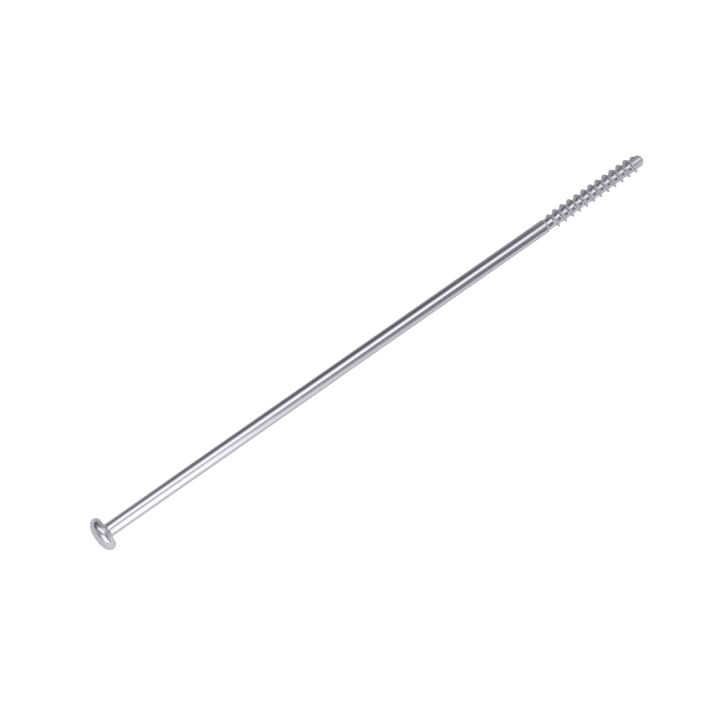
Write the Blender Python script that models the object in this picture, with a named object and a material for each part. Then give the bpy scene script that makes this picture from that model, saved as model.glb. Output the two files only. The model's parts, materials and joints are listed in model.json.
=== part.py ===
"""A long steel screw: domed head with a cross recess, plain shank, short coarse thread, blunt rounded tip.

The real screw is one piece of wire, with its head pressed on one end and its thread rolled on the other.
Its axis is the object's own X axis. The seat under the head is at x = 0, the head is on the minus side
and the tip on the plus side. The screw lies on the plane z = 0 as it comes to rest, on the rim of its
head and on a thread crest near its tip.
"""

import math

import bmesh
import bpy
from mathutils import Matrix, Vector

MM = 0.001

# Head: a low dome over a rounded rim, with a flat ring underneath that bears on the work
HEAD_DIAMETER = 12.0 * MM
DOME_HEIGHT = 3.0 * MM
RIM_HEIGHT = 2.0 * MM
SEAT_DIAMETER = 8.6 * MM
SEAT_FILLET = 0.5 * MM

# Cross recess in the dome, with its span and slot measured level with the top of the dome. Its turn about
# the axis puts the wings midway between level and upright as the screw lies
RECESS_SPAN = 6.8 * MM
RECESS_SLOT = 1.5 * MM
RECESS_DEPTH = 2.6 * MM
RECESS_TIP = 0.6 * MM
RECESS_CORNER = 0.45 * MM
RECESS_SPAN_DRAFT = math.radians(24)
RECESS_SLOT_DRAFT = math.radians(4)
RECESS_TURN = math.radians(45)
RECESS_OVERCUT = 0.5 * MM

# Shank, from the seat to the step where the thread begins
LENGTH = 220.0 * MM
SHANK_DIAMETER = 4.8 * MM
THREADED_LENGTH = 41.4 * MM
SHOULDER_CHAMFER = 0.5 * MM

# Right-hand thread, rolled on a core that is thinner than the shank
THREAD_DIAMETER = 6.15 * MM
CORE_DIAMETER = 4.15 * MM
PITCH = 3.03 * MM
THREAD_ANGLE = math.radians(50)
CREST_WIDTH = 0.22 * MM
ROOT_FILLET = 0.3 * MM
THREAD_START_GAP = 0.6 * MM
THREAD_START_TURN = 0.25
RUN_IN_TURNS = 0.5
RUN_OUT_TURNS = 0.33

# Rounded tip past the thread
TIP_ROUNDING = 1.9 * MM
PLAIN_TIP = 1.75 * MM

# How finely the round forms are divided: a multiple of four puts a flat under the screw
SIDES = 24
DOME_STEPS = 10
RIM_STEPS = 4
FILLET_STEPS = 3
TIP_STEPS = 5
LAST_RING_GAP = 0.1 * MM
SHARP_EDGE = math.radians(35)

STEEL_COLOUR = (0.78, 0.78, 0.81, 1.0)
STEEL_ROUGHNESS = 0.2


def clear_scene():
    """Remove every object, so that the model starts from an empty scene."""
    for old in list(bpy.data.objects):
        bpy.data.objects.remove(old, do_unlink=True)


def bright_steel():
    """Zinc-plated steel: a bright, slightly cool metal."""
    material = bpy.data.materials.new("bright_zinc_steel")
    material.use_nodes = True
    shader = material.node_tree.nodes["Principled BSDF"]
    shader.inputs["Base Color"].default_value = STEEL_COLOUR
    shader.inputs["Metallic"].default_value = 1.0
    shader.inputs["Roughness"].default_value = STEEL_ROUGHNESS
    return material


def surface_point(x, radius, side):
    """A corner of the many-sided section at x.

    Corners are counted from the minus Y side down to the underside, the way a right-hand thread turns
    as it advances. The flats between them touch the true circle, so the widths across the flats and
    the height at which the screw rests are those of the round part.
    """
    turn = 2 * math.pi * (side + 0.5) / SIDES
    corner_radius = radius / math.cos(math.pi / SIDES)
    return Vector((x, -corner_radius * math.cos(turn), -corner_radius * math.sin(turn)))


def elliptic_arc(x_centre, r_centre, x_axis, r_axis, first_angle, last_angle, steps):
    """Profile points (x, radius) on an ellipse, with angles in degrees from the outward direction to +X."""
    points = []
    for step in range(steps + 1):
        angle = math.radians(first_angle + (last_angle - first_angle) * step / steps)
        points.append((x_centre + x_axis * math.sin(angle), r_centre + r_axis * math.cos(angle)))
    return points


def add_ring(bm, x, radius):
    return [bm.verts.new(surface_point(x, radius, side)) for side in range(SIDES)]


def join_rings(bm, ring, next_ring):
    """Close the wall between two rings, the second on the plus X side of the first."""
    for side in range(SIDES):
        following = (side + 1) % SIDES
        bm.faces.new((ring[side], ring[following], next_ring[following], next_ring[side]))


def turned_wall(bm, profile):
    """Turn a profile of (x, radius) points about the axis, and give its first and last rings."""
    rings = [add_ring(bm, x, radius) for x, radius in profile]
    for ring, next_ring in zip(rings, rings[1:]):
        join_rings(bm, ring, next_ring)
    return rings[0], rings[-1]


def close_head(bm, ring):
    """Close the dome with triangles that meet on the axis."""
    top = bm.verts.new((-(RIM_HEIGHT + DOME_HEIGHT), 0.0, 0.0))
    for side in range(SIDES):
        bm.faces.new((top, ring[(side + 1) % SIDES], ring[side]))


def close_tip(bm, ring):
    """Close the tip with triangles that meet on the axis."""
    end = bm.verts.new((LENGTH, 0.0, 0.0))
    for side in range(SIDES):
        bm.faces.new((end, ring[side], ring[(side + 1) % SIDES]))


def head_and_shank_profile():
    """From beside the top of the dome, over the rim and the seat, along the shank to the thread's core."""
    head_radius = HEAD_DIAMETER / 2
    seat_radius = SEAT_DIAMETER / 2
    shank_radius = SHANK_DIAMETER / 2
    core_start = LENGTH - THREADED_LENGTH
    dome = elliptic_arc(-RIM_HEIGHT, 0.0, DOME_HEIGHT, head_radius, -90, 0, DOME_STEPS)
    rim = elliptic_arc(-RIM_HEIGHT, seat_radius, RIM_HEIGHT, head_radius - seat_radius, 0, 90, RIM_STEPS)
    fillet_centre = (SEAT_FILLET, shank_radius + SEAT_FILLET)
    fillet = elliptic_arc(*fillet_centre, SEAT_FILLET, SEAT_FILLET, -90, -180, FILLET_STEPS)
    shoulder = [(core_start - SHOULDER_CHAMFER, shank_radius), (core_start, CORE_DIAMETER / 2)]
    return dome[1:] + rim[1:] + fillet + shoulder


def core_radius(x):
    """The core is a cylinder that ends in a half ellipse."""
    into_tip = max(0.0, x - (LENGTH - TIP_ROUNDING)) / TIP_ROUNDING
    return CORE_DIAMETER / 2 * math.sqrt(max(0.0, 1 - into_tip ** 2))


def ridge_section():
    """The thread's own section as (distance along X from the crest's middle, height above the core)."""
    depth = (THREAD_DIAMETER - CORE_DIAMETER) / 2
    half_angle = THREAD_ANGLE / 2
    foot = CREST_WIDTH / 2 + depth * math.tan(half_angle)
    tangent = ROOT_FILLET * math.tan((math.pi / 2 - half_angle) / 2)
    fillet_end = (foot + tangent, 0.0)
    fillet_start = (foot - tangent * math.sin(half_angle), tangent * math.cos(half_angle))
    rising_side = [fillet_end, fillet_start, (CREST_WIDTH / 2, depth)]
    return [(-x, height) for x, height in rising_side] + rising_side[::-1]


def ridge_share(step, last_step):
    """Share of the full height, which grows over the first part of a turn and dies out at the tip."""
    run_in = step / SIDES / RUN_IN_TURNS
    run_out = (last_step - step) / SIDES / RUN_OUT_TURNS
    return math.sin(min(run_in, run_out, 1.0) * math.pi / 2)


def fan(bm, corner, chain):
    """Triangles from one corner to each pair of neighbours in a chain of corners."""
    for first, second in zip(chain, chain[1:]):
        bm.faces.new((corner, first, second))


def threaded_wall(bm, start_ring):
    """Wind the thread from the start ring towards the tip, and give the plain ring that ends it.

    Each row of the section is a helix with a corner at every side of every turn. A row's end meets the
    next row one turn on, so the wall is closed all the way, and both ends run out on the bare core.
    """
    section = ridge_section()
    half_foot = section[-1][0]
    first_crest = LENGTH - THREADED_LENGTH + THREAD_START_GAP + half_foot
    last_crest = LENGTH - PLAIN_TIP - half_foot
    last_step = int((last_crest - first_crest) / PITCH * SIDES)
    start_side = round(THREAD_START_TURN * SIDES)

    rows = []
    for offset, height in section:
        row = []
        for step in range(last_step + 1):
            x = first_crest + PITCH * step / SIDES + offset
            radius = core_radius(x) + height * ridge_share(step, last_step)
            row.append(bm.verts.new(surface_point(x, radius, start_side + step)))
        rows.append(row)

    for row, next_row in zip(rows, rows[1:]):
        for step in range(last_step):
            bm.faces.new((row[step], row[step + 1], next_row[step + 1], next_row[step]))
    for step in range(last_step - SIDES):
        here, there = rows[-1], rows[0]
        bm.faces.new((here[step], here[step + 1], there[step + 1 + SIDES], there[step + SIDES]))

    start = [start_ring[(start_side + side) % SIDES] for side in range(SIDES)]
    for side in range(SIDES - 1):
        bm.faces.new((start[side], start[side + 1], rows[0][side + 1], rows[0][side]))
    start_column = [row[0] for row in rows]
    fan(bm, rows[0][SIDES - 1], [start[-1], start[0]] + start_column + [rows[0][SIDES]])

    thread_end = first_crest + PITCH * last_step / SIDES + half_foot
    end_x = max(thread_end + LAST_RING_GAP, LENGTH - TIP_ROUNDING)
    end_ring = add_ring(bm, end_x, core_radius(end_x))
    end = [end_ring[(start_side + last_step + side) % SIDES] for side in range(SIDES + 1)]
    last_turn = rows[-1][last_step - SIDES:]
    for side in range(1, SIDES):
        bm.faces.new((last_turn[side], last_turn[side + 1], end[side + 1], end[side]))
    end_column = [row[last_step] for row in reversed(rows)]
    fan(bm, last_turn[1], [end[1], end[0]] + end_column + [last_turn[0]])
    return end_x, end_ring


def tip_wall(bm, start_x, ring):
    """Round the core off from the thread's last ring to just beside the axis, and close it."""
    base_x = LENGTH - TIP_ROUNDING
    first_angle = math.degrees(math.asin((start_x - base_x) / TIP_ROUNDING))
    rounding = elliptic_arc(base_x, 0.0, TIP_ROUNDING, CORE_DIAMETER / 2, first_angle, 90, TIP_STEPS)
    for x, radius in rounding[1:-1]:
        next_ring = add_ring(bm, x, radius)
        join_rings(bm, ring, next_ring)
        ring = next_ring
    close_tip(bm, ring)


def make_screw(material):
    """Model the screw in one closed wall: head, shank, thread and tip."""
    bm = bmesh.new()
    head_ring, core_ring = turned_wall(bm, head_and_shank_profile())
    close_head(bm, head_ring)
    thread_end_x, thread_end_ring = threaded_wall(bm, core_ring)
    tip_wall(bm, thread_end_x, thread_end_ring)
    mesh = bpy.data.meshes.new("screw")
    bm.to_mesh(mesh)
    bm.free()
    mesh.shade_smooth()
    mesh.set_sharp_from_angle(angle=SHARP_EDGE)
    mesh.materials.append(material)
    screw = bpy.data.objects.new("screw", mesh)
    bpy.context.collection.objects.link(screw)
    return screw


def cross_outline(depth):
    """Corners of the cross recess, as (y, z), at a depth below the top of the dome.

    Each wing gives its two outer corners and the two ends of the slanted corners beside it.
    """
    half_span = RECESS_SPAN / 2 - depth * math.tan(RECESS_SPAN_DRAFT)
    half_slot = RECESS_SLOT / 2 - depth * math.tan(RECESS_SLOT_DRAFT)
    inner = half_slot + RECESS_CORNER
    wing = [(inner, -half_slot), (half_span, -half_slot), (half_span, half_slot), (inner, half_slot)]
    corners = []
    for _ in range(4):
        corners += wing
        wing = [(-z, y) for y, z in wing]
    cosine, sine = math.cos(RECESS_TURN), math.sin(RECESS_TURN)
    return [(y * cosine - z * sine, y * sine + z * cosine) for y, z in corners]


def make_recess_cutter(screw):
    """A tapered cross with a shallow point, which the driver's tip would fill."""
    dome_top = -(RIM_HEIGHT + DOME_HEIGHT)
    bm = bmesh.new()
    mouth = [bm.verts.new((dome_top - RECESS_OVERCUT, y, z)) for y, z in cross_outline(-RECESS_OVERCUT)]
    floor = [bm.verts.new((dome_top + RECESS_DEPTH, y, z)) for y, z in cross_outline(RECESS_DEPTH)]
    mouth_centre = bm.verts.new((dome_top - RECESS_OVERCUT, 0.0, 0.0))
    floor_centre = bm.verts.new((dome_top + RECESS_DEPTH + RECESS_TIP, 0.0, 0.0))
    for corner in range(len(mouth)):
        following = (corner + 1) % len(mouth)
        bm.faces.new((mouth[corner], mouth[following], floor[following], floor[corner]))
        bm.faces.new((mouth_centre, mouth[following], mouth[corner]))
        bm.faces.new((floor_centre, floor[corner], floor[following]))
    bmesh.ops.recalc_face_normals(bm, faces=bm.faces[:])
    mesh = bpy.data.meshes.new("recess_cutter")
    bm.to_mesh(mesh)
    bm.free()
    cutter = bpy.data.objects.new("recess_cutter", mesh)
    bpy.context.collection.objects.link(cutter)
    cutter.parent = screw
    cutter.display_type = "WIRE"
    cutter.hide_render = True
    return cutter


def cut_recess(screw, cutter):
    cut = screw.modifiers.new("cross_recess", "BOOLEAN")
    cut.operation = "DIFFERENCE"
    cut.solver = "EXACT"
    cut.object = cutter


def lay_down(screw):
    """Tilt the screw onto its head's rim and its thread, and set the middle of its underside at the origin.

    The line that touches the screw from below starts at the rim's lowest corner and rises least on its
    way to the thread, so the crest that it meets first is the one that the screw rests on.
    """
    evaluated = screw.evaluated_get(bpy.context.evaluated_depsgraph_get())
    corners = [vertex.co.copy() for vertex in evaluated.to_mesh().vertices]
    evaluated.to_mesh_clear()
    rim = min(corners, key=lambda corner: corner.z)
    slopes = [math.atan2(corner.z - rim.z, corner.x - rim.x) for corner in corners if corner.x > 0]
    tilt = min(slopes)
    turned = [Matrix.Rotation(tilt, 3, "Y") @ corner for corner in corners]
    middle_x = (min(corner.x for corner in turned) + max(corner.x for corner in turned)) / 2
    middle_y = (min(corner.y for corner in turned) + max(corner.y for corner in turned)) / 2
    lowest = min(corner.z for corner in turned)
    screw.rotation_euler = (0.0, tilt, 0.0)
    screw.location = (-middle_x, -middle_y, -lowest)


clear_scene()
the_screw = make_screw(bright_steel())
cut_recess(the_screw, make_recess_cutter(the_screw))
lay_down(the_screw)
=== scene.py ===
# %% [markdown]
# # A long bright steel screw
#
# The real screw is one piece of wire. A press forms the domed head and its cross recess, two dies roll
# the coarse thread, and a thin coat of zinc makes it shine. Nothing on it moves, so it is one rigid piece.
#
# The CAD model gives the sizes and the place. Here the same forms are made again with many more faces,
# because bright metal shows each flat facet as a broken reflection.

# %% Load the CAD model as the frame

import json
import math

import bmesh
import bpy
from mathutils import Matrix, Vector

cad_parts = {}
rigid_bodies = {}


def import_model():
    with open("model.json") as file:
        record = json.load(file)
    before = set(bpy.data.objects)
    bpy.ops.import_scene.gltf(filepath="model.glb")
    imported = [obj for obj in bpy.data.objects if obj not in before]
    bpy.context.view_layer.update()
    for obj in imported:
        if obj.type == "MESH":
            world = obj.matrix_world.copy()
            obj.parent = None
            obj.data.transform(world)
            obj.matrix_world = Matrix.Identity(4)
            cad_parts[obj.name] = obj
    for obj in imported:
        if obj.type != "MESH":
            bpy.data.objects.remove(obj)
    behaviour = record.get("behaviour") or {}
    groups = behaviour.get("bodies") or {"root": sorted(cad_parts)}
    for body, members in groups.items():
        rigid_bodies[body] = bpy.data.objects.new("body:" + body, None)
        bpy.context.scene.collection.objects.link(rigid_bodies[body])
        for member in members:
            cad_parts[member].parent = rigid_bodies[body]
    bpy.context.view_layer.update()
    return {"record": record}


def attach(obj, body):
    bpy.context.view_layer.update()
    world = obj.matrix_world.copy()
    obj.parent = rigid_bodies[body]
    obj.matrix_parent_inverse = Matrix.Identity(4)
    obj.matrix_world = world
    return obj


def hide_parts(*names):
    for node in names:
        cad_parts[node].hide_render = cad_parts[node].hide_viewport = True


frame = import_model()
MM = 0.001

# %% [markdown]
# ## The sizes
#
# A turned or rolled part is drawn as a section and a few lengths along its axis. These are the sizes that
# the CAD model was made with. The axis is the X axis, the seat under the head is at x = 0, the head lies
# on the minus side and the tip on the plus side.

# %% Sizes of the screw

HEAD_RADIUS = 12.0 * MM / 2
DOME_HEIGHT = 3.0 * MM
RIM_HEIGHT = 2.0 * MM
SEAT_RADIUS = 8.6 * MM / 2
SEAT_FILLET = 0.5 * MM

RECESS_HALF_SPAN = 6.8 * MM / 2
RECESS_HALF_SLOT = 1.5 * MM / 2
RECESS_DEPTH = 2.6 * MM
RECESS_TIP = 0.6 * MM
RECESS_CORNER = 0.45 * MM
RECESS_SPAN_DRAFT = math.radians(24)
RECESS_SLOT_DRAFT = math.radians(4)
RECESS_TURN = math.radians(45)

LENGTH = 220.0 * MM
SHANK_RADIUS = 4.8 * MM / 2
CORE_START = LENGTH - 41.4 * MM
SHOULDER_CHAMFER = 0.5 * MM

THREAD_RADIUS = 6.15 * MM / 2
CORE_RADIUS = 4.15 * MM / 2
PITCH = 3.03 * MM
THREAD_HALF_ANGLE = math.radians(25)
HALF_CREST = 0.22 * MM / 2
ROOT_FILLET = 0.3 * MM
THREAD_START_GAP = 0.6 * MM
THREAD_START_ANGLE = math.radians(97.5)
RUN_IN_TURNS = 0.5
RUN_OUT_TURNS = 0.33
TIP_ROUNDING = 1.9 * MM
PLAIN_TIP = 1.75 * MM

print("The screw is", round((LENGTH + RIM_HEIGHT + DOME_HEIGHT) / MM, 1), "mm long over all")

# %% [markdown]
# ## Rings round the axis
#
# A lathe would make the head and the shank from a profile turned about the axis. The cross recess breaks
# that symmetry, so the wall is built ring by ring instead: each ring is a loop of points, and each pair of
# neighbouring rings is joined with four-sided faces. A ring may be a circle, or take the shape of the
# recess, as long as all rings have the same number of points.

# %% Helpers for rings

POINTS_PER_OCTANT = 12
RING_POINTS = 8 * POINTS_PER_OCTANT
STEP_ANGLE = 2 * math.pi / RING_POINTS


def on_circle(x, radius, angle):
    """A point at an angle counted from the minus Y side down to the underside."""
    return Vector((x, -radius * math.cos(angle), -radius * math.sin(angle)))


def circle(x, radius, start_angle=0.0):
    """A ring of evenly spread points."""
    return [on_circle(x, radius, start_angle + STEP_ANGLE * index) for index in range(RING_POINTS)]


def add_ring(mesh, points):
    return [mesh.verts.new(point) for point in points]


def join_rings(mesh, ring, next_ring):
    """Close the wall between two rings, the second on the plus X side of the first."""
    for index in range(RING_POINTS):
        following = (index + 1) % RING_POINTS
        mesh.faces.new((ring[index], ring[following], next_ring[following], next_ring[index]))


def join_all(mesh, loops):
    """Add loops of points in order along the wall, join each to the next, and give all the rings."""
    rings = [add_ring(mesh, points) for points in loops]
    for ring, next_ring in zip(rings, rings[1:]):
        join_rings(mesh, ring, next_ring)
    return rings


def bend(first, corner, last, steps):
    """Points on a smooth bend that leaves towards a corner and arrives from it, ends included."""
    points = []
    for step in range(steps + 1):
        share = step / steps
        points.append((1 - share) ** 2 * first + 2 * share * (1 - share) * corner + share ** 2 * last)
    return points


print("Each ring has", RING_POINTS, "points")

# %% [markdown]
# ## The cross recess
#
# The driver's tip fits a cross-shaped pit whose walls lean inwards. The press that forms it leaves soft
# lips. A Boolean cut would give knife-sharp edges and ragged faces beside them, so the pit is part of the
# wall: the rings near it are crosses that lie on the dome, and then step down its walls to the floor.

# %% One eighth of the recess, at a depth below the top of the dome

END_STEPS, CORNER_STEPS, SIDE_STEPS = 2, 3, 4
SLANT_STEPS = POINTS_PER_OCTANT - END_STEPS - CORNER_STEPS - SIDE_STEPS
WING_ROUNDING = 0.22 * MM
LIP = 0.16 * MM


def octant(depth, grow):
    """One eighth of the outline as (along the wing, across it), from the wing's end to the slanted corner.

    The outline narrows with depth, and grow widens it all round.
    """
    span = RECESS_HALF_SPAN - depth * math.tan(RECESS_SPAN_DRAFT) + grow
    slot = RECESS_HALF_SLOT - depth * math.tan(RECESS_SLOT_DRAFT) + grow
    inner = slot + RECESS_CORNER
    rounding = WING_ROUNDING + grow / 2
    along, across = span - rounding, slot - rounding
    points = [(span, across * step / END_STEPS) for step in range(END_STEPS)]
    for step in range(CORNER_STEPS):
        angle = math.pi / 2 * step / CORNER_STEPS
        points.append((along + rounding * math.cos(angle), across + rounding * math.sin(angle)))
    for step in range(SIDE_STEPS):
        points.append((along + (inner - along) * step / SIDE_STEPS, slot))
    for step in range(SLANT_STEPS + 1):
        share = step / SLANT_STEPS / 2
        points.append((inner + (slot - inner) * share, slot + (inner - slot) * share))
    return points


eighth_mm = [tuple(round(value / MM, 2) for value in point) for point in octant(0.0, 0.0)]
print("Points of one eighth in mm:", eighth_mm)

# %% The whole outline, from eight of them


def outline(depth, grow):
    """The whole outline as (minus Y, minus Z) pairs, one for each point of a ring, turned to its place."""
    eighth = octant(depth, grow)
    quarter = eighth[:-1] + [(across, along) for along, across in eighth[:0:-1]]
    cosine, sine = math.cos(RECESS_TURN), math.sin(RECESS_TURN)
    quarter = [(a * cosine - b * sine, a * sine + b * cosine) for a, b in quarter]
    points = []
    for _ in range(4):
        points += quarter
        quarter = [(-b, a) for a, b in quarter]
    first = round(RECESS_TURN / STEP_ANGLE)
    return points[-first:] + points[:-first]


outline_store = {}


def kept_outline(depth, grow):
    """The outline, kept so that it is worked out once for each depth."""
    key = (round(depth / MM, 6), round(grow / MM, 6))
    if key not in outline_store:
        outline_store[key] = outline(depth, grow)
    return outline_store[key]


print("The whole outline has", len(kept_outline(0.0, 0.0)), "points")

# %% Where the wall of the recess meets the dome

DOME_TOP = -(RIM_HEIGHT + DOME_HEIGHT)
FIT_ROUNDS = 8


def dome_depth(radius):
    """How far the dome lies below its top at a radius."""
    return DOME_HEIGHT * (1 - math.sqrt(max(0.0, 1 - (radius / HEAD_RADIUS) ** 2)))


def place(along, across, depth):
    """A point of the recess, from its place on the outline and its depth below the dome's top."""
    return Vector((DOME_TOP + depth, -along, -across))


def dome_corner(index, grow):
    """Where the recess wall, or the wall moved out by grow, meets the dome at one point of the ring."""
    depth = 0.0
    for _ in range(FIT_ROUNDS):
        along, across = kept_outline(depth, grow)[index]
        depth = dome_depth(math.hypot(along, across))
    return along, across, depth


edge_depths = [round(dome_corner(index, 0.0)[2] / MM, 2) for index in range(RING_POINTS)]
print("The recess opens", min(edge_depths), "to", max(edge_depths), "mm below the dome's top")

# %% Rings of the recess, from its floor up to its lip on the dome

FOOT_BEND_STEPS, LIP_BEND_STEPS = 3, 4

# The bend at the foot of the wall takes up this share of the floor and of the wall. The bend at the lip takes
# up no more than LONGEST_LIP of the wall. The plain rings lie at the other shares, between the bends.
FLOOR_BEND, WALL_BEND, LONGEST_LIP = 0.18, 0.12, 0.5
FLOOR_RINGS = (0.35, 0.7)
WALL_RINGS = (0.33, 0.67)


def recess_columns():
    """For each point of the ring, the points from the recess floor up the wall and over the lip."""
    columns = []
    for index in range(RING_POINTS):
        foot = place(*kept_outline(RECESS_DEPTH, 0.0)[index], RECESS_DEPTH)
        middle = place(0.0, 0.0, RECESS_DEPTH + RECESS_TIP)
        corner = place(*dome_corner(index, 0.0))
        floor_edge = foot.lerp(middle, FLOOR_BEND)
        wall_start = foot.lerp(corner, WALL_BEND)
        wall_end = corner.lerp(foot, min(LONGEST_LIP, LIP / (corner - foot).length))
        lip_end = place(*dome_corner(index, LIP))
        column = [middle.lerp(floor_edge, share) for share in FLOOR_RINGS]
        column += bend(floor_edge, foot, wall_start, FOOT_BEND_STEPS)
        column += [wall_start.lerp(wall_end, share) for share in WALL_RINGS]
        column += bend(wall_end, corner, lip_end, LIP_BEND_STEPS)
        columns.append(column)
    return columns


recess_loops = [list(loop) for loop in zip(*recess_columns())]
print("The recess has", len(recess_loops), "rings")

# %% [markdown]
# ## Head, shank and shoulder
#
# From the lip of the recess the rings widen over the dome and turn from crosses into circles. Then they
# are plain circles: down the rounded rim, in over the flat seat, round the small fillet and along the
# shank to the step where the thread's thinner core begins.

# %% Rings of the dome

DOME_RINGS = 16


def dome_loops(lip):
    """Rings on the dome between the lip and the widest part, spaced closer where the dome turns down."""
    loops = []
    lip_polar = [(math.hypot(point.y, point.z), math.atan2(-point.z, -point.y)) for point in lip]
    for step in range(1, DOME_RINGS + 1):
        share = math.sin(step / DOME_RINGS * math.pi / 2)
        loop = []
        for index, (radius, angle) in enumerate(lip_polar):
            even = STEP_ANGLE * index
            turn = (angle - even + math.pi) % (2 * math.pi) - math.pi
            wide = radius + (HEAD_RADIUS - radius) * share
            loop.append(on_circle(DOME_TOP + dome_depth(wide), wide, even + turn * (1 - share)))
        loops.append(loop)
    return loops


head_loops = recess_loops + dome_loops(recess_loops[-1])
print("The head's top has", len(head_loops), "rings")

# %% Profile from the rim to the thread's core

RIM_STEPS = 12
FILLET_STEPS = 8
SHANK_STEPS = 24
EDGE_ROUND = 0.12 * MM
EDGE_STEPS = 4


def arc(x_centre, r_centre, x_axis, r_axis, first, last, steps):
    """Profile points on an ellipse, with angles in degrees from the outward direction to +X."""
    points = []
    for step in range(steps + 1):
        angle = math.radians(first + (last - first) * step / steps)
        points.append(Vector((x_centre + x_axis * math.sin(angle), r_centre + r_axis * math.cos(angle))))
    return points


def rounded_step():
    """The chamfered step from shank to core, with its two edges eased."""
    top = Vector((CORE_START - SHOULDER_CHAMFER, SHANK_RADIUS))
    foot = Vector((CORE_START, CORE_RADIUS))
    slope = (foot - top).normalized() * EDGE_ROUND
    ahead = Vector((EDGE_ROUND, 0.0))
    upper = bend(top - ahead, top, top + slope, EDGE_STEPS)
    return upper + bend(foot - slope, foot, foot + ahead, EDGE_STEPS)


def profile():
    """(distance along X, radius) from below the rim's widest part to the start of the core."""
    rim = arc(-RIM_HEIGHT, SEAT_RADIUS, RIM_HEIGHT, HEAD_RADIUS - SEAT_RADIUS, 0, 90, RIM_STEPS)[1:]
    fillet_radius = SHANK_RADIUS + SEAT_FILLET
    fillet = arc(SEAT_FILLET, fillet_radius, SEAT_FILLET, SEAT_FILLET, -90, -180, FILLET_STEPS)
    step = rounded_step()
    shank = [fillet[-1].lerp(step[0], share / SHANK_STEPS) for share in range(1, SHANK_STEPS)]
    return rim + fillet + shank + step


shank_loops = [circle(point.x, point.y) for point in profile()]
print("From rim to core there are", len(shank_loops), "rings")

# %% [markdown]
# ## The thread
#
# Rolling dies push the metal up between their grooves, so the thread stands proud of its core, with slanted
# flanks, a narrow rounded crest and a small fillet at the root. The ridge's section is drawn once. Each of
# its points then travels along a helix, and the rear foot of one turn is joined to the front foot of the
# next. The Screw modifier could do this too, but it can't make the ridge rise and die away at its ends. Past
# the last turn the core is rounded off to a blunt tip.

# %% Section of the ridge and its height along the thread

CREST_ROUND = 0.2 * MM
CREST_STEPS = 5
ROOT_STEPS = 4
THREAD_DEPTH = THREAD_RADIUS - CORE_RADIUS


def ridge_section():
    """(distance along X from the crest's middle, height above the core), from the front foot to the rear."""
    foot = HALF_CREST + THREAD_DEPTH * math.tan(THREAD_HALF_ANGLE)
    tangent = ROOT_FILLET * math.tan((math.pi / 2 - THREAD_HALF_ANGLE) / 2)
    flank_turn = 270 - math.degrees(THREAD_HALF_ANGLE)
    root = arc(foot + tangent, ROOT_FILLET, ROOT_FILLET, ROOT_FILLET, 180, flank_turn, ROOT_STEPS)
    edge = Vector((HALF_CREST, THREAD_DEPTH))
    crest_start = edge + (root[-1] - edge).normalized() * CREST_ROUND
    crest = bend(crest_start, edge, Vector((0.0, THREAD_DEPTH)), CREST_STEPS)
    side = root + [root[-1].lerp(crest_start, 0.5)] + crest
    return [Vector((-point.x, point.y)) for point in side[:-1]] + side[::-1]


def core_radius(x):
    """The core is a cylinder that ends in a half ellipse."""
    into_tip = max(0.0, x - (LENGTH - TIP_ROUNDING)) / TIP_ROUNDING
    return CORE_RADIUS * math.sqrt(max(0.0, 1 - into_tip ** 2))


section = ridge_section()
half_foot = section[-1].x
first_crest = CORE_START + THREAD_START_GAP + half_foot
thread_turns = (LENGTH - PLAIN_TIP - half_foot - first_crest) / PITCH
last_step = int(thread_turns * RING_POINTS)


def ridge_share(step):
    """Share of the full height, which grows over the first part of a turn and dies out at the tip."""
    run_in = step / RING_POINTS / RUN_IN_TURNS
    run_out = (last_step - step) / RING_POINTS / RUN_OUT_TURNS
    return math.sin(min(run_in, run_out, 1.0) * math.pi / 2)


print("The thread makes", round(thread_turns, 2), "turns; its section has", len(section), "points")

# %% Wall of the thread


def fan(mesh, corner, chain):
    """Triangles from one corner to each pair of neighbours in a chain of corners."""
    for first, second in zip(chain, chain[1:]):
        mesh.faces.new((corner, first, second))


def threaded_wall(mesh, start):
    """Wind the thread from a ring of the core towards the tip, and give its rows of points."""
    rows = []
    for point in section:
        row = []
        for step in range(last_step + 1):
            x = first_crest + PITCH * step / RING_POINTS + point.x
            radius = core_radius(x) + point.y * ridge_share(step)
            row.append(mesh.verts.new(on_circle(x, radius, THREAD_START_ANGLE + STEP_ANGLE * step)))
        rows.append(row)

    # The ridge itself.
    for row, next_row in zip(rows, rows[1:]):
        for step in range(last_step):
            mesh.faces.new((row[step], row[step + 1], next_row[step + 1], next_row[step]))

    # The strip of core between one turn and the next.
    front, rear = rows[0], rows[-1]
    for step in range(last_step - RING_POINTS):
        ahead = step + RING_POINTS
        mesh.faces.new((rear[step], rear[step + 1], front[ahead + 1], front[ahead]))

    # The core in front of the first turn, and the ridge's start, which has no height yet.
    for index in range(RING_POINTS - 1):
        mesh.faces.new((start[index], start[index + 1], front[index + 1], front[index]))
    column = [row[0] for row in rows]
    fan(mesh, front[RING_POINTS - 1], [start[-1], start[0]] + column + [front[RING_POINTS]])
    return rows


print("The thread will have", len(section) * (last_step + 1), "points")

# %% Wall of the tip

END_GAP = 0.05 * MM
TIP_STEPS = 16


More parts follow.
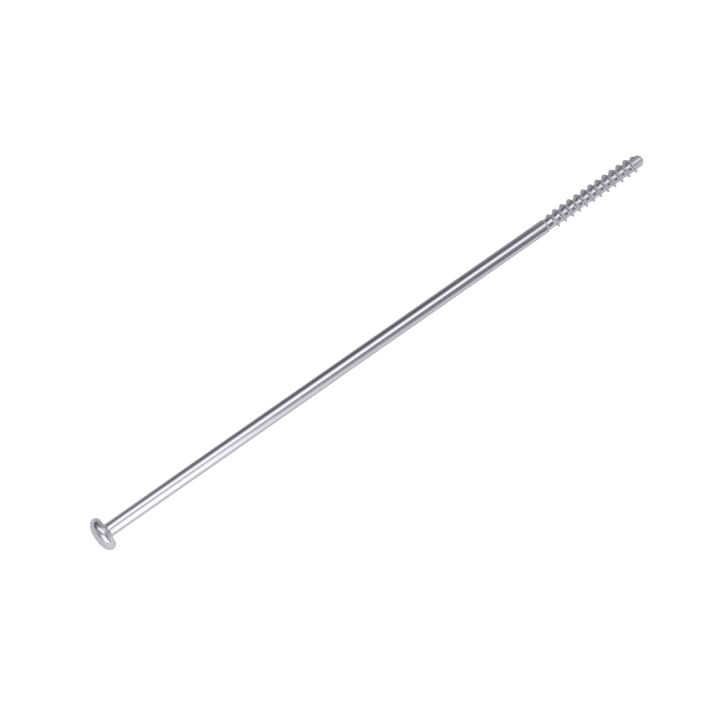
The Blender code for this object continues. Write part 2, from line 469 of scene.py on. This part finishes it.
def tip_wall(mesh, rows):
    """Close the wall round the thread's end, then round the core off to a point on the axis."""
    base_x = LENGTH - TIP_ROUNDING
    end_x = max(base_x, first_crest + PITCH * last_step / RING_POINTS + half_foot + END_GAP)
    end_angle = THREAD_START_ANGLE + STEP_ANGLE * last_step
    ring = add_ring(mesh, circle(end_x, core_radius(end_x), end_angle))
    last_turn = rows[-1][last_step - RING_POINTS:]
    end = ring + ring[:1]
    for index in range(1, RING_POINTS):
        mesh.faces.new((last_turn[index], last_turn[index + 1], end[index + 1], end[index]))
    column = [row[last_step] for row in reversed(rows)]
    fan(mesh, last_turn[1], [end[1], end[0]] + column + [last_turn[0]])
    into_rounding = math.degrees(math.asin((end_x - base_x) / TIP_ROUNDING))
    for point in arc(base_x, 0.0, TIP_ROUNDING, CORE_RADIUS, into_rounding, 90, TIP_STEPS)[1:-1]:
        next_ring = add_ring(mesh, circle(point.x, point.y, end_angle))
        join_rings(mesh, ring, next_ring)
        ring = next_ring
    fan(mesh, mesh.verts.new((LENGTH, 0.0, 0.0)), ring + ring[:1])


last_crest = first_crest + PITCH * thread_turns
print("The last crest is", round((LENGTH - last_crest) / MM, 2), "mm before the tip")

# %% [markdown]
# ## One closed wall
#
# All rings and rows are joined into a single mesh without gaps, because the real screw is one piece of
# metal. Normals are smooth throughout: every edge on it is already eased by a small bend of real faces.

# %% Make the screw

CORE_RING_GAP = 0.25 * MM

mesh = bmesh.new()
rings = join_all(mesh, head_loops + shank_loops)
centre = mesh.verts.new((DOME_TOP + RECESS_DEPTH + RECESS_TIP, 0.0, 0.0))
fan(mesh, centre, (rings[0] + rings[0][:1])[::-1])

core_ring = add_ring(mesh, circle(CORE_START + CORE_RING_GAP, CORE_RADIUS))
join_rings(mesh, rings[-1], core_ring)
offset = round(THREAD_START_ANGLE / STEP_ANGLE)
tip_wall(mesh, threaded_wall(mesh, core_ring[offset:] + core_ring[:offset]))

screw_mesh = bpy.data.meshes.new("bright_screw")
mesh.to_mesh(screw_mesh)
mesh.free()
screw_mesh.shade_smooth()
screw = bpy.data.objects.new("bright_screw", screw_mesh)
bpy.context.collection.objects.link(screw)

print("The screw has", len(screw_mesh.polygons), "faces")

# %% [markdown]
# ## Laying it down
#
# The screw lies on the rim of its head and on a thread crest, so its axis slopes a little. The packed
# record gives a point on the flat seat under the head, above the axis, and the way that the seat faces.
# That fixes the whole pose, so nothing has to be turned by hand.

# %% Place the screw on the CAD model's axis

SEAT_POINT_RADIUS = 3.6 * MM
seat = frame["record"]["mounts"][0]
axis = Vector(seat["axis"])
upward = Vector((-axis.z, 0.0, axis.x))
seat_centre = Vector(seat["pos_m"]) - SEAT_POINT_RADIUS * upward
turn = Matrix((axis, Vector((0.0, 1.0, 0.0)), upward)).transposed()
screw_mesh.transform(Matrix.Translation(seat_centre) @ turn.to_4x4())
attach(screw, "root")
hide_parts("screw")

print("The axis slopes by", round(math.degrees(math.asin(-axis.z)), 2), "degrees")

# %% [markdown]
# ## Bright zinc
#
# Zinc plating is a smooth metal with a cool tint. Drawn wire keeps faint marks along its length, and the
# plating has a very fine cloudiness. A picture of steel would repeat itself along the shank, so noise gives
# both: one node group makes the marks, and one the cloudiness. Both work from the object's own coordinates,
# so they stay on the screw when it is moved.

# %% Helpers for shader nodes

MM_PER_METRE = 1000.0


def new_group(name, inputs, outputs):
    """An empty shader node group with named sockets."""
    group = bpy.data.node_groups.new(name, "ShaderNodeTree")
    for socket, kind, value in inputs:
        made = group.interface.new_socket(name=socket, in_out="INPUT", socket_type=kind)
        if value is not None:
            made.default_value = value
    for socket, kind in outputs:
        group.interface.new_socket(name=socket, in_out="OUTPUT", socket_type=kind)
    entry = group.nodes.new("NodeGroupInput")
    leave = group.nodes.new("NodeGroupOutput")
    return group, entry, leave


def math_node(tree, operation, *values):
    """A math node whose inputs are sockets or plain numbers."""
    node = tree.nodes.new("ShaderNodeMath")
    node.operation = operation
    for socket, value in zip(node.inputs, values):
        if isinstance(value, (int, float)):
            socket.default_value = value
        else:
            tree.links.new(value, socket)
    return node.outputs[0]


print("Scales are set per mm, and the nodes take them times", MM_PER_METRE)

# %% Drawing marks

STREAK_SCALE = (0.012, 1.0, 1.0)
STREAK_DETAIL = 4.0


def drawing_marks():
    """A group that gives streaks along X: noise that is drawn out along the axis."""
    group, entry, leave = new_group(
        "drawing_marks",
        [("Vector", "NodeSocketVector", None), ("Marks per mm", "NodeSocketFloat", 3.0)],
        [("Height", "NodeSocketFloat")])
    stretch = group.nodes.new("ShaderNodeVectorMath")
    stretch.operation = "MULTIPLY"
    stretch.inputs[1].default_value = STREAK_SCALE
    group.links.new(entry.outputs["Vector"], stretch.inputs[0])
    noise = group.nodes.new("ShaderNodeTexNoise")
    noise.inputs["Detail"].default_value = STREAK_DETAIL
    group.links.new(stretch.outputs[0], noise.inputs["Vector"])
    scale = math_node(group, "MULTIPLY", entry.outputs["Marks per mm"], MM_PER_METRE)
    group.links.new(scale, noise.inputs["Scale"])
    group.links.new(noise.outputs["Fac"], leave.inputs["Height"])
    return group


marks_group = drawing_marks()
print("Made the group", marks_group.name)

# %% Cloudiness of the plating

CLOUD_DETAIL = 5.0

# Noise seldom goes below or above these values, so they are spread out to the full range.
CLOUD_LEAST, CLOUD_MOST = 0.3, 0.7


def plating_cloud():
    """A group that gives a soft patchy value between Low and High."""
    group, entry, leave = new_group(
        "plating_cloud",
        [("Vector", "NodeSocketVector", None), ("Patches per mm", "NodeSocketFloat", 0.4),
         ("Low", "NodeSocketFloat", 0.0), ("High", "NodeSocketFloat", 1.0)],
        [("Value", "NodeSocketFloat")])
    noise = group.nodes.new("ShaderNodeTexNoise")
    noise.inputs["Detail"].default_value = CLOUD_DETAIL
    group.links.new(entry.outputs["Vector"], noise.inputs["Vector"])
    scale = math_node(group, "MULTIPLY", entry.outputs["Patches per mm"], MM_PER_METRE)
    group.links.new(scale, noise.inputs["Scale"])
    spread = group.nodes.new("ShaderNodeMapRange")
    spread.inputs["From Min"].default_value = CLOUD_LEAST
    spread.inputs["From Max"].default_value = CLOUD_MOST
    group.links.new(noise.outputs["Fac"], spread.inputs["Value"])
    group.links.new(entry.outputs["Low"], spread.inputs["To Min"])
    group.links.new(entry.outputs["High"], spread.inputs["To Max"])
    group.links.new(spread.outputs["Result"], leave.inputs["Value"])
    return group


cloud_group = plating_cloud()
print("Made the group", cloud_group.name)

# %% How the zinc looks

ZINC = (0.645, 0.633, 0.68, 1.0)
ZINC_DULL = (0.58, 0.568, 0.612, 1.0)
DULL_SHARE = 0.4
ROUGHNESS = 0.12
SMOOTHEST, ROUGHEST = 0.75 * ROUGHNESS, 1.4 * ROUGHNESS
TINT_PATCHES_PER_MM = 0.3
HAZE_PATCHES_PER_MM = 1.2
MARKS_PER_MM = 3.0
MARK_STRENGTH = 0.3
MARK_DEPTH = 0.01 * MM


def place_group(tree, group, **values):
    """A group node with plain values on the sockets named, with spaces written as underscores."""
    node = tree.nodes.new("ShaderNodeGroup")
    node.node_tree = group
    for socket, value in values.items():
        node.inputs[socket.replace("_", " ")].default_value = value
    return node


print("The roughness goes from", round(SMOOTHEST, 3), "to", round(ROUGHEST, 3))

# %% The zinc material


def bright_zinc():
    """Bright plated steel with faint drawing marks."""
    material = bpy.data.materials.new("bright_zinc")
    material.use_nodes = True
    tree = material.node_tree
    shader = tree.nodes["Principled BSDF"]
    shader.inputs["Metallic"].default_value = 1.0
    where = tree.nodes.new("ShaderNodeTexCoord").outputs["Object"]

    tint = place_group(tree, cloud_group, Patches_per_mm=TINT_PATCHES_PER_MM)
    tree.links.new(where, tint.inputs["Vector"])
    colour = tree.nodes.new("ShaderNodeMix")
    colour.data_type = "RGBA"
    colour.inputs["A"].default_value = ZINC
    colour.inputs["B"].default_value = ZINC_DULL
    faint = math_node(tree, "MULTIPLY", tint.outputs["Value"], DULL_SHARE)
    tree.links.new(faint, colour.inputs["Factor"])
    tree.links.new(colour.outputs["Result"], shader.inputs["Base Color"])

    haze = place_group(tree, cloud_group, Patches_per_mm=HAZE_PATCHES_PER_MM, Low=SMOOTHEST, High=ROUGHEST)
    tree.links.new(where, haze.inputs["Vector"])
    tree.links.new(haze.outputs["Value"], shader.inputs["Roughness"])

    streaks = place_group(tree, marks_group, Marks_per_mm=MARKS_PER_MM)
    tree.links.new(where, streaks.inputs["Vector"])
    bump = tree.nodes.new("ShaderNodeBump")
    bump.inputs["Strength"].default_value = MARK_STRENGTH
    bump.inputs["Distance"].default_value = MARK_DEPTH
    tree.links.new(streaks.outputs["Height"], bump.inputs["Height"])
    tree.links.new(bump.outputs["Normal"], shader.inputs["Normal"])
    return material


screw_mesh.materials.append(bright_zinc())
print("Materials:", [slot.material.name for slot in screw.material_slots])

# %% [markdown]
# ## Camera
#
# The photograph looks down on the screw from a steep angle with a long lens, so that its axis runs from
# the lower left to the upper right. The camera is turned by AZIMUTH round the vertical and looks down by
# ELEVATION. Its distance and aim put the screw at the photograph's place and size. AIM_DROP is measured
# square to the axis as the picture shows it, and AXIS_SLANT is the angle of the axis in the picture.

# %% Set the camera

AZIMUTH = math.radians(36.0)
ELEVATION = math.radians(75.0)
DISTANCE = 663.6 * MM
AIM_FROM_SEAT = 99.85 * MM
AIM_DROP = 1.378 * MM
AXIS_SLANT = math.radians(34.7)
LENS = 100.0
SENSOR_WIDTH = 36.0
NEAREST = 0.01

level = Vector((math.sin(AZIMUTH), math.cos(AZIMUTH), 0.0))
forward = level * math.cos(ELEVATION) + Vector((0.0, 0.0, -math.sin(ELEVATION)))
right = Vector((math.cos(AZIMUTH), -math.sin(AZIMUTH), 0.0))
above = right.cross(forward)
square_to_axis = above * math.cos(AXIS_SLANT) - right * math.sin(AXIS_SLANT)
aim = seat_centre + axis * AIM_FROM_SEAT - square_to_axis * AIM_DROP

camera = bpy.data.objects.new("camera", bpy.data.cameras.new("camera"))
bpy.context.collection.objects.link(camera)
camera.data.sensor_width = SENSOR_WIDTH
camera.data.lens = LENS
camera.data.clip_start = NEAREST
camera_turn = Matrix((right, above, -forward)).transposed().to_4x4()
camera.matrix_world = Matrix.Translation(aim - DISTANCE * forward) @ camera_turn
bpy.context.scene.camera = camera

print("The camera is", round(camera.location.z / MM), "mm above the floor")

# %% [markdown]
# ## Floor
#
# The screw was laid on plain white for its picture. A white sheet does this here. It glows faintly, because
# a sheet that only takes light would show a grey shadow that the photograph doesn't have.

# %% White floor

FLOOR_REACH = 6.0
FLOOR_WHITE = 0.8
FLOOR_GLOW = 0.336
CAMERA_GLOW = 0.4
WHITE = (1.0, 1.0, 1.0, 1.0)


def stage_sheet(name, length, width):
    """A flat sheet in its own XY plane, with a plain material to fill in."""
    x, y = length / 2, width / 2
    data = bpy.data.meshes.new(name)
    data.from_pydata([(-x, -y, 0.0), (x, -y, 0.0), (x, y, 0.0), (-x, y, 0.0)], [], [(0, 1, 2, 3)])
    sheet = bpy.data.objects.new(name, data)
    bpy.context.collection.objects.link(sheet)
    material = bpy.data.materials.new(name)
    material.use_nodes = True
    data.materials.append(material)
    sheet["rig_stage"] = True
    return sheet, material.node_tree


def white_floor():
    """A matt white sheet that glows a little, and a bit more where the camera sees it."""
    sheet, tree = stage_sheet("floor", 2 * FLOOR_REACH, 2 * FLOOR_REACH)
    shader = tree.nodes["Principled BSDF"]
    shader.inputs["Base Color"].default_value = (FLOOR_WHITE, FLOOR_WHITE, FLOOR_WHITE, 1.0)
    shader.inputs["Roughness"].default_value = 1.0
    shader.inputs["Specular IOR Level"].default_value = 0.0
    shader.inputs["Emission Color"].default_value = WHITE
    path = tree.nodes.new("ShaderNodeLightPath")
    seen = math_node(tree, "MULTIPLY", path.outputs["Is Camera Ray"], CAMERA_GLOW)
    tree.links.new(math_node(tree, "ADD", seen, FLOOR_GLOW), shader.inputs["Emission Strength"])
    return sheet


floor = white_floor()
print("The", floor.name, "is", 2 * FLOOR_REACH, "m wide")

# %% [markdown]
# ## Cards that the metal mirrors
#
# Bright metal has hardly any colour of its own: it shows what stands round it. So a photographer sets up
# cards and softboxes, and their places decide where the bright and dark bands run along the shank. Each one
# here is a flat sheet that fades towards its edges, which gives a band its soft side. Lamps could make the
# bright bands, but not the dark ones. Only reflections see the cards, so they never stand in a view.

# %% Soft-edged cards

VIOLET_GREY = (0.97, 0.94, 1.08, 1.0)


def fade(tree, share, softness):
    """One in the middle of the card and nought at its edge, from the share of the way across it."""
    from_middle = math_node(tree, "ABSOLUTE", math_node(tree, "MULTIPLY_ADD", share, 2.0, -1.0))
    ramp = tree.nodes.new("ShaderNodeMapRange")
    ramp.interpolation_type = "SMOOTHSTEP"
    ramp.inputs["From Min"].default_value = 1.0
    ramp.inputs["From Max"].default_value = 1.0 - softness
    tree.links.new(from_middle, ramp.inputs["Value"])
    return ramp.outputs["Result"]


def soft_card(name, length, width, brightness, softness, colour=WHITE):
    """A card of one brightness that fades out towards its edges, seen in reflections only."""
    sheet, tree = stage_sheet(name, length, width)
    shares = tree.nodes.new("ShaderNodeSeparateXYZ")
    tree.links.new(tree.nodes.new("ShaderNodeTexCoord").outputs["Generated"], shares.inputs[0])
    along = fade(tree, shares.outputs["X"], softness)
    across = fade(tree, shares.outputs["Y"], softness)
    cover = math_node(tree, "MULTIPLY", along, across)
    glow = tree.nodes.new("ShaderNodeEmission")
    glow.inputs["Color"].default_value = colour
    glow.inputs["Strength"].default_value = brightness
    mix = tree.nodes.new("ShaderNodeMixShader")
    tree.links.new(cover, mix.inputs["Fac"])
    tree.links.new(tree.nodes.new("ShaderNodeBsdfTransparent").outputs[0], mix.inputs[1])
    tree.links.new(glow.outputs[0], mix.inputs[2])
    tree.links.new(mix.outputs[0], tree.nodes["Material Output"].inputs["Surface"])
    sheet.visible_camera = False
    sheet.visible_diffuse = False
    sheet.visible_shadow = False
    return sheet


print("The dark cards have the tint", VIOLET_GREY[:3])

# %% Hanging a card round the screw


def direction_to(tilt, lean):
    """A direction from the screw: tilt in degrees from straight up towards +Y, lean towards +X."""
    tilt, lean = math.radians(tilt), math.radians(lean)
    return Vector((math.sin(lean), math.sin(tilt) * math.cos(lean), math.cos(tilt) * math.cos(lean)))


def hang(card, tilt, lean, spin, distance):
    """Hang a card facing the screw, with its length along the screw before it is spun."""
    outward = direction_to(tilt, lean)
    along = (Vector((1.0, 0.0, 0.0)) - outward * outward.x).normalized()
    across = outward.cross(along)
    spin = math.radians(spin)
    length_way = along * math.cos(spin) + across * math.sin(spin)
    width_way = across * math.cos(spin) - along * math.sin(spin)
    turn = Matrix((length_way, width_way, outward)).transposed().to_4x4()
    card.matrix_world = Matrix.Translation(outward * distance) @ turn


def staged():
    """The names of all that stands round the screw."""
    return [obj.name for obj in bpy.data.objects if obj.get("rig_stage")]


print("A card with no tilt and no lean hangs towards", tuple(direction_to(0.0, 0.0)))

# %% Hang the dark cards behind the screw

hang(soft_card("dark_back", 5.00, 1.11, 0.0905, 0.98, VIOLET_GREY),
     tilt=74.1, lean=8.4, spin=-67.0, distance=1.6)
hang(soft_card("dark_left", 1.55, 1.20, 0.214, 0.08, VIOLET_GREY),
     tilt=69.8, lean=-28.0, spin=-19.2, distance=1.5)

print("On the stage so far:", staged())

# %% Hang the cards above the screw and at its ends

hang(soft_card("left_card", 2.42, 0.98, 0.463, 0.61, VIOLET_GREY),
     tilt=-1.2, lean=-67.7, spin=-14.1, distance=1.7)
hang(soft_card("right_softbox", 0.70, 0.81, 1.08, 0.08),
     tilt=9.1, lean=39.5, spin=83.2, distance=1.3)
hang(soft_card("overhead_softbox", 2.26, 0.87, 1.51, 0.73),
     tilt=13.8, lean=3.0, spin=-51.0, distance=1.1)
hang(soft_card("end_softbox", 0.7, 0.5, 1.5, 0.8),
     tilt=35.0, lean=74.0, spin=0.0, distance=1.4)

print("On the stage so far:", staged())

# %% Hang the bright cards on the near side, and one dark card between them

hang(soft_card("low_right_softbox", 0.11, 0.98, 2.47, 0.08),
     tilt=-79.7, lean=35.5, spin=-7.7, distance=1.3)
hang(soft_card("near_softbox", 1.62, 1.27, 1.4, 0.08),
     tilt=-46.6, lean=-28.7, spin=0.8, distance=1.2)
hang(soft_card("low_near_softbox", 0.78, 2.76, 1.92, 0.98),
     tilt=-65.4, lean=-7.8, spin=16.6, distance=1.15)
hang(soft_card("dark_near", 0.32, 1.90, 0.276, 0.36, VIOLET_GREY),
     tilt=-55.5, lean=20.3, spin=13.0, distance=1.0)

print("On the stage so far:", staged())

# %% Lay a bright card on the floor on the near side

NEAR_LENGTH = 3.0
NEAR_REACH = 1.5
NEAR_START = -4 * MM
NEAR_HEIGHT = 0.2 * MM

near_floor = soft_card("near_floor", NEAR_LENGTH, NEAR_REACH, 0.932, 0.018)
near_floor.location = (0.0, NEAR_START - NEAR_REACH / 2, NEAR_HEIGHT)

print("The near card reaches from", NEAR_START, "to", NEAR_START - NEAR_REACH, "m in Y")

# %% Lay a dark card on the floor under the screw and behind it

STRIP_LENGTH = 0.91
STRIP_REACH = 0.9
STRIP_MIDDLE = 0.343
STRIP_START = -20 * MM
STRIP_HEIGHT = 0.3 * MM

dark_strip = soft_card("dark_strip", STRIP_LENGTH, STRIP_REACH, 0.383, 0.10, VIOLET_GREY)
dark_strip.location = (STRIP_MIDDLE, STRIP_START + STRIP_REACH / 2, STRIP_HEIGHT)

print("The dark card reaches from", STRIP_START, "to", STRIP_START + STRIP_REACH, "m in Y")

# %% [markdown]
# ## Room
#
# The rest of a studio is pale walls. One even light from all round gives them, and softens every shadow.
# An image of a real room could do it too, but one even tone keeps the cards the only shapes in the metal.

# %% White room

ROOM_LIGHT = 0.529
ROOM_COLOUR = (0.99, 0.97, 1.03, 1.0)
CAMERA_ROOM_LIGHT = 1.05


def white_room():
    """An even pale room, which is pure white where the camera sees it."""
    world = bpy.data.worlds.new("white_room")
    world.use_nodes = True
    tree = world.node_tree
    path = tree.nodes.new("ShaderNodeLightPath")
    seen = math_node(tree, "MULTIPLY", path.outputs["Is Camera Ray"], CAMERA_ROOM_LIGHT - ROOM_LIGHT)
    light = math_node(tree, "ADD", seen, ROOM_LIGHT)
    tree.nodes["Background"].inputs["Color"].default_value = ROOM_COLOUR
    tree.links.new(light, tree.nodes["Background"].inputs["Strength"])
    return world


bpy.context.scene.world = white_room()
view = bpy.context.scene.view_settings
view.view_transform = "Standard"
view.look = "None"
view.exposure = 0.0
print("Room light:", ROOM_LIGHT)
